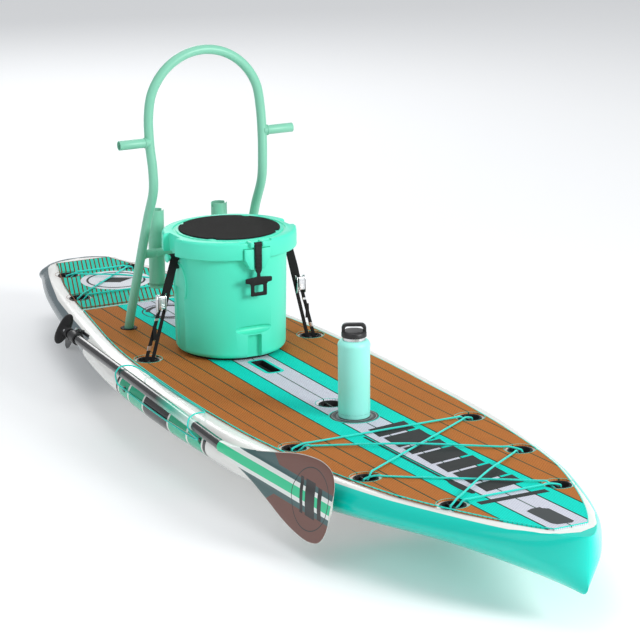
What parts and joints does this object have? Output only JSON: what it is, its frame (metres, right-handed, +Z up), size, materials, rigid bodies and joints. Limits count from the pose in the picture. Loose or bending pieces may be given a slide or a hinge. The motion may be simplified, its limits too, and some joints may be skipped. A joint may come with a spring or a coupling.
{
  "type": "stand up paddleboard",
  "caption": "Rigid stand up paddleboard with foam deck pads, bungee lacing, a lift-out hoop rack, a strapped round cooler, a magnetic bottle, a stowed paddle and fins.",
  "frame": {"origin": "centre of the hull length and width, at the level of the flat hull bottom", "axes": "+Z up from the deck, +Y towards the tail, nose at -Y, the stowed paddle at -X"},
  "size_m": [0.8434, 3.1966, 1.1001],
  "materials": {
    "bottle_paint": "satin",
    "black_plastic": "matte",
    "steel": "satin",
    "black_rubber": "matte",
    "cooler_plastic": "satin",
    "liner_plastic": "satin",
    "deck_foam": "matte",
    "bungee_cord": "matte",
    "epoxy_hull": "gloss",
    "blade_plastic": "satin",
    "carbon_shaft": "gloss",
    "rack_paint": "satin",
    "strap_webbing": "matte",
    "tail_foam": "matte"
  },
  "bodies": {
    "board": {"cam_buckle_left": "steel", "cam_buckle_right": "steel", "carry_handle": "black_plastic", "cooler_base_pad": "black_rubber", "cooler_body": "cooler_plastic", "cooler_liner": "liner_plastic", "deck_pad": "deck_foam", "eyelet_centre": "black_plastic", "eyelet_front_left_1": "black_plastic", "eyelet_front_left_2": "black_plastic", "eyelet_front_left_3": "black_plastic", "eyelet_front_right_1": "black_plastic", "eyelet_front_right_2": "black_plastic", "eyelet_front_right_3": "black_plastic", "eyelet_tail_left_1": "black_plastic", "eyelet_tail_left_2": "black_plastic", "eyelet_tail_right_1": "black_plastic", "eyelet_tail_right_2": "black_plastic", "fin_box": "black_plastic", "front_bungee": "bungee_cord", "hull": "epoxy_hull", "lid_hinge_pin": "steel", "magnet_pad": "black_rubber", "rack_socket_left": "black_plastic", "rack_socket_right": "black_plastic", "rail_anchor_nose": "black_plastic", "rail_anchor_tail": "black_plastic", "rail_bungee": "bungee_cord", "side_fin_left": "black_plastic", "side_fin_right": "black_plastic", "strap_left": "strap_webbing", "strap_right": "strap_webbing", "tail_bungee": "bungee_cord", "tail_pad": "tail_foam", "tie_down_left": "black_plastic", "tie_down_right": "black_plastic"},
    "lid": {"cooler_lid": "cooler_plastic", "lid_gasket": "black_rubber", "lid_pad": "black_rubber"},
    "latch": {"lid_latch": "black_rubber"},
    "rack": {"rack_hoop": "rack_paint", "rack_crossbar": "rack_paint", "rack_stub_left": "rack_paint", "rack_stub_right": "rack_paint", "rod_holder_left": "rack_paint", "rod_holder_right": "rack_paint"},
    "cam_lever_left": {"cam_lever_left": "steel"},
    "cam_lever_right": {"cam_lever_right": "steel"},
    "bottle": {"bottle_body": "bottle_paint", "bottle_flask": "steel"},
    "bottle_cap": {"bottle_cap": "black_plastic"},
    "centre_fin": {"centre_fin": "black_plastic"},
    "paddle": {"paddle_blade": "blade_plastic", "paddle_lower_shaft": "carbon_shaft", "paddle_clamp_collar": "black_plastic", "paddle_clamp_bolt": "steel"},
    "paddle_top": {"paddle_upper_shaft": "carbon_shaft", "paddle_grip": "black_plastic"},
    "clamp_lever": {"paddle_clamp_lever": "black_plastic"}
  },
  "joints": [
    {"name": "lid_hinge", "type": "hinge", "parent": "board", "child": "lid", "pos_m": [0, 0.558, 0.444], "axis": [-1, 0, 0], "range_deg": [0, 35]},
    {"name": "latch_pivot", "type": "hinge", "parent": "lid", "child": "latch", "pos_m": [0, 0.167, 0.484], "axis": [-1, 0, 0], "range_deg": [0, 110]},
    {"name": "rack_lift", "type": "slide", "parent": "board", "child": "rack", "axis": [0, -0.3666, 0.9304], "range_m": [0, 0.085]},
    {"name": "cam_left", "type": "hinge", "parent": "board", "child": "cam_lever_left", "pos_m": [0.2339, 0.34309, 0.311], "axis": [-1, 0, 0], "range_deg": [0, 95]},
    {"name": "cam_right", "type": "hinge", "parent": "board", "child": "cam_lever_right", "pos_m": [-0.2339, 0.34309, 0.311], "axis": [-1, 0, 0], "range_deg": [0, 95]},
    {"name": "bottle_lift", "type": "slide", "parent": "board", "child": "bottle", "axis": [0, 0, 1], "range_m": [0, 0.25]},
    {"name": "bottle_cap_turn", "type": "hinge", "parent": "bottle", "child": "bottle_cap", "pos_m": [0, -0.427, 0.36], "axis": [0, 0, 1], "continuous": true},
    {"name": "fin_slide", "type": "slide", "parent": "board", "child": "centre_fin", "axis": [0, 1, 0], "range_m": [-0.055, 0.055]},
    {"name": "paddle_slide", "type": "slide", "parent": "board", "child": "paddle", "axis": [0, -0.9992, -0.0408], "range_m": [0, 0.25]},
    {"name": "paddle_length", "type": "slide", "parent": "paddle", "child": "paddle_top", "axis": [0, 0.9992, 0.0408], "range_m": [0, 0.35]},
    {"name": "clamp_lever_pivot", "type": "hinge", "parent": "paddle", "child": "clamp_lever", "pos_m": [-0.3945, 0.60829, 0.1632], "axis": [-0.866, -0.0204, 0.4996], "range_deg": [0, 80]}
  ]
}
